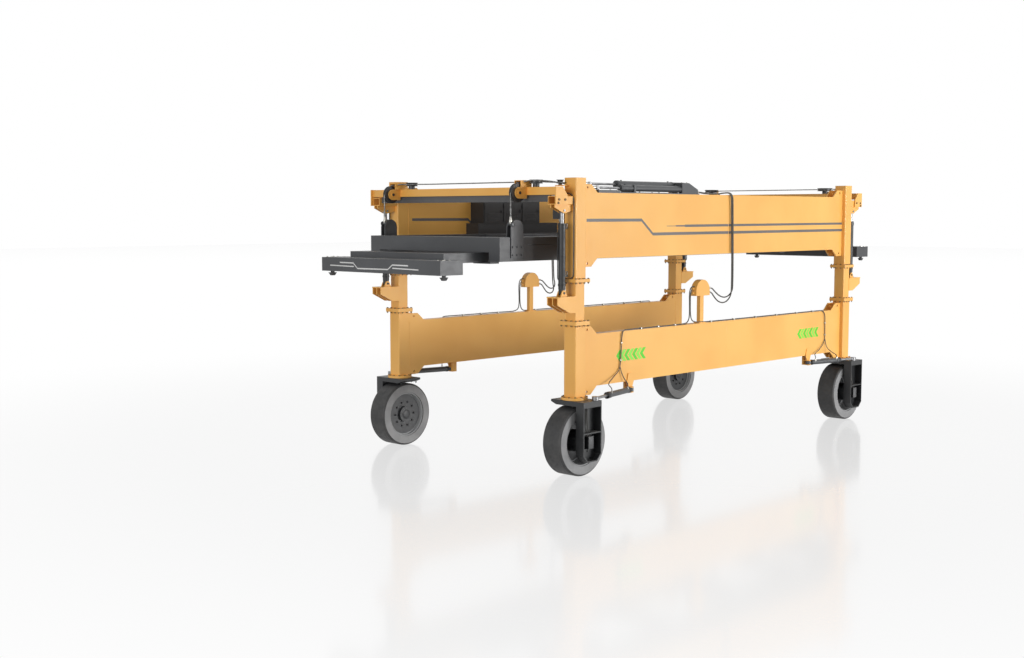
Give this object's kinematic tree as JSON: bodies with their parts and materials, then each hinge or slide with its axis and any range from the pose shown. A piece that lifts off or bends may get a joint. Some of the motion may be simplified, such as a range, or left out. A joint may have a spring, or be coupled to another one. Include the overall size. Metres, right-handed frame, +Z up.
{
  "type": "gantry straddle carrier",
  "caption": "Mobile gantry that straddles a container, with telescopic legs, steered wheels in one-sided forks and a rope-hung telescopic spreader.",
  "frame": {"origin": "on the ground, midway between the four steering axes", "axes": "+X from the front end to the rear end along the machine, +Y from the near side to the far side, +Z up"},
  "size_m": [10.84, 4.2468, 4.01],
  "materials": {
    "yellow_paint": "semi-gloss",
    "spreader_paint": "satin",
    "cylinder_paint": "semi-gloss",
    "black_paint": "satin",
    "sheave_steel": "satin",
    "rod_chrome": "polished",
    "wire_rope": "satin",
    "tyre_rubber": "matt",
    "rim_paint": "satin",
    "hose_rubber": "satin"
  },
  "bodies": {
    "chassis": {"near_lower_frame": "yellow_paint", "far_lower_frame": "yellow_paint", "near_inner_columns": "yellow_paint", "far_inner_columns": "yellow_paint", "leg_cylinder_barrels": "black_paint", "hose_guides": "yellow_paint"},
    "upper_frame": {"near_upper_frame": "yellow_paint", "far_upper_frame": "yellow_paint", "front_crossbeam": "yellow_paint", "rear_crossbeam": "yellow_paint", "front_cable_channel": "cylinder_paint", "rear_cable_channel": "cylinder_paint", "leg_cylinder_rods": "rod_chrome", "drop_sheaves": "sheave_steel", "top_sheaves": "sheave_steel", "rope_guards": "yellow_paint", "hoist_cylinder_barrels": "cylinder_paint", "hoist_cylinder_rods": "rod_chrome", "hoist_ropes": "wire_rope", "equipment_cabinet": "cylinder_paint", "valve_box": "cylinder_paint", "near_hose_loop_a": "hose_rubber", "near_hose_loop_b": "hose_rubber", "far_hose_loop_a": "hose_rubber", "far_hose_loop_b": "hose_rubber"},
    "spreader": {"spreader_frame": "spreader_paint", "rope_yokes": "spreader_paint"},
    "front_spreader_end": {"front_telescope": "spreader_paint", "front_end_beam": "spreader_paint", "front_twistlocks": "black_paint"},
    "rear_spreader_end": {"rear_telescope": "spreader_paint", "rear_end_beam": "spreader_paint", "rear_twistlocks": "black_paint"},
    "front_near_fork": {"front_near_fork": "black_paint"},
    "front_near_wheel": {"front_near_wheel": "rim_paint", "front_near_tyre": "tyre_rubber"},
    "front_near_steering_barrel": {"front_near_steering_barrel": "cylinder_paint"},
    "front_near_steering_rod": {"front_near_steering_rod": "rod_chrome"},
    "front_far_fork": {"front_far_fork": "black_paint"},
    "front_far_wheel": {"front_far_wheel": "rim_paint", "front_far_tyre": "tyre_rubber"},
    "front_far_steering_barrel": {"front_far_steering_barrel": "cylinder_paint"},
    "front_far_steering_rod": {"front_far_steering_rod": "rod_chrome"},
    "rear_near_fork": {"rear_near_fork": "black_paint"},
    "rear_near_wheel": {"rear_near_wheel": "rim_paint", "rear_near_tyre": "tyre_rubber"},
    "rear_near_steering_barrel": {"rear_near_steering_barrel": "cylinder_paint"},
    "rear_near_steering_rod": {"rear_near_steering_rod": "rod_chrome"},
    "rear_far_fork": {"rear_far_fork": "black_paint"},
    "rear_far_wheel": {"rear_far_wheel": "rim_paint", "rear_far_tyre": "tyre_rubber"},
    "rear_far_steering_barrel": {"rear_far_steering_barrel": "cylinder_paint"},
    "rear_far_steering_rod": {"rear_far_steering_rod": "rod_chrome"}
  },
  "joints": [
    {"name": "frame_lift", "type": "slide", "parent": "chassis", "child": "upper_frame", "axis": [0, 0, 1], "range_m": [0, 0.7]},
    {"name": "spreader_hoist", "type": "slide", "parent": "upper_frame", "child": "spreader", "axis": [0, 0, 1], "range_m": [-1.2, 0.12], "deforming": ["hoist_ropes"]},
    {"name": "front_telescope_slide", "type": "slide", "parent": "spreader", "child": "front_spreader_end", "axis": [-1, 0, 0], "range_m": [-0.5, 0.7]},
    {"name": "rear_telescope_slide", "type": "slide", "parent": "spreader", "child": "rear_spreader_end", "axis": [1, 0, 0], "range_m": [-0.5, 0.7]},
    {"name": "front_near_steering", "type": "hinge", "parent": "chassis", "child": "front_near_fork", "pos_m": [-3.49, -1.7785, 1.034], "axis": [0, 0, 1], "range_deg": [-35, 35]},
    {"name": "front_near_wheel_spin", "type": "hinge", "parent": "front_near_fork", "child": "front_near_wheel", "pos_m": [-3.49, -1.7785, 0.475], "axis": [0, 1, 0], "continuous": true},
    {"name": "front_near_steering_barrel_pivot", "type": "hinge", "parent": "chassis", "child": "front_near_steering_barrel", "pos_m": [-2.36, -1.8385, 1.066], "axis": [0, 0, 1], "range_deg": [-3, 3]},
    {"name": "front_near_steering_rod_slide", "type": "slide", "parent": "front_near_steering_barrel", "child": "front_near_steering_rod", "axis": [-0.9749, -0.2228, 0], "range_m": [-0.2, 0.2]},
    {"name": "front_far_steering", "type": "hinge", "parent": "chassis", "child": "front_far_fork", "pos_m": [-3.49, 1.7785, 1.034], "axis": [0, 0, 1], "range_deg": [-35, 35]},
    {"name": "front_far_wheel_spin", "type": "hinge", "parent": "front_far_fork", "child": "front_far_wheel", "pos_m": [-3.49, 1.7785, 0.475], "axis": [0, 1, 0], "continuous": true},
    {"name": "front_far_steering_barrel_pivot", "type": "hinge", "parent": "chassis", "child": "front_far_steering_barrel", "pos_m": [-2.36, 1.8385, 1.066], "axis": [0, 0, 1], "range_deg": [-3, 3]},
    {"name": "front_far_steering_rod_slide", "type": "slide", "parent": "front_far_steering_barrel", "child": "front_far_steering_rod", "axis": [-0.9749, 0.2228, 0], "range_m": [-0.2, 0.2]},
    {"name": "rear_near_steering", "type": "hinge", "parent": "chassis", "child": "rear_near_fork", "pos_m": [3.49, -1.7785, 1.034], "axis": [0, 0, 1], "range_deg": [-35, 35]},
    {"name": "rear_near_wheel_spin", "type": "hinge", "parent": "rear_near_fork", "child": "rear_near_wheel", "pos_m": [3.49, -1.7785, 0.475], "axis": [0, 1, 0], "continuous": true},
    {"name": "rear_near_steering_barrel_pivot", "type": "hinge", "parent": "chassis", "child": "rear_near_steering_barrel", "pos_m": [2.36, -1.8385, 1.066], "axis": [0, 0, 1], "range_deg": [-3, 3]},
    {"name": "rear_near_steering_rod_slide", "type": "slide", "parent": "rear_near_steering_barrel", "child": "rear_near_steering_rod", "axis": [0.9749, -0.2228, 0], "range_m": [-0.2, 0.2]},
    {"name": "rear_far_steering", "type": "hinge", "parent": "chassis", "child": "rear_far_fork", "pos_m": [3.49, 1.7785, 1.034], "axis": [0, 0, 1], "range_deg": [-35, 35]},
    {"name": "rear_far_wheel_spin", "type": "hinge", "parent": "rear_far_fork", "child": "rear_far_wheel", "pos_m": [3.49, 1.7785, 0.475], "axis": [0, 1, 0], "continuous": true},
    {"name": "rear_far_steering_barrel_pivot", "type": "hinge", "parent": "chassis", "child": "rear_far_steering_barrel", "pos_m": [2.36, 1.8385, 1.066], "axis": [0, 0, 1], "range_deg": [-3, 3]},
    {"name": "rear_far_steering_rod_slide", "type": "slide", "parent": "rear_far_steering_barrel", "child": "rear_far_steering_rod", "axis": [0.9749, 0.2228, 0], "range_m": [-0.2, 0.2]}
  ],
  "couplings": [
    {"joint": "rear_telescope_slide", "follows": "front_telescope_slide", "ratio": 1},
    {"joint": "front_near_steering_barrel_pivot", "follows": "front_near_steering", "ratio": -0.01034},
    {"joint": "front_near_steering_rod_slide", "follows": "front_near_steering", "m_per_rad": -0.31028},
    {"joint": "front_far_steering_barrel_pivot", "follows": "front_far_steering", "ratio": -0.01034},
    {"joint": "front_far_steering_rod_slide", "follows": "front_far_steering", "m_per_rad": 0.31028},
    {"joint": "rear_near_steering_barrel_pivot", "follows": "rear_near_steering", "ratio": -0.01034},
    {"joint": "rear_near_steering_rod_slide", "follows": "rear_near_steering", "m_per_rad": 0.31028},
    {"joint": "rear_far_steering_barrel_pivot", "follows": "rear_far_steering", "ratio": -0.01034},
    {"joint": "rear_far_steering_rod_slide", "follows": "rear_far_steering", "m_per_rad": -0.31028}
  ]
}
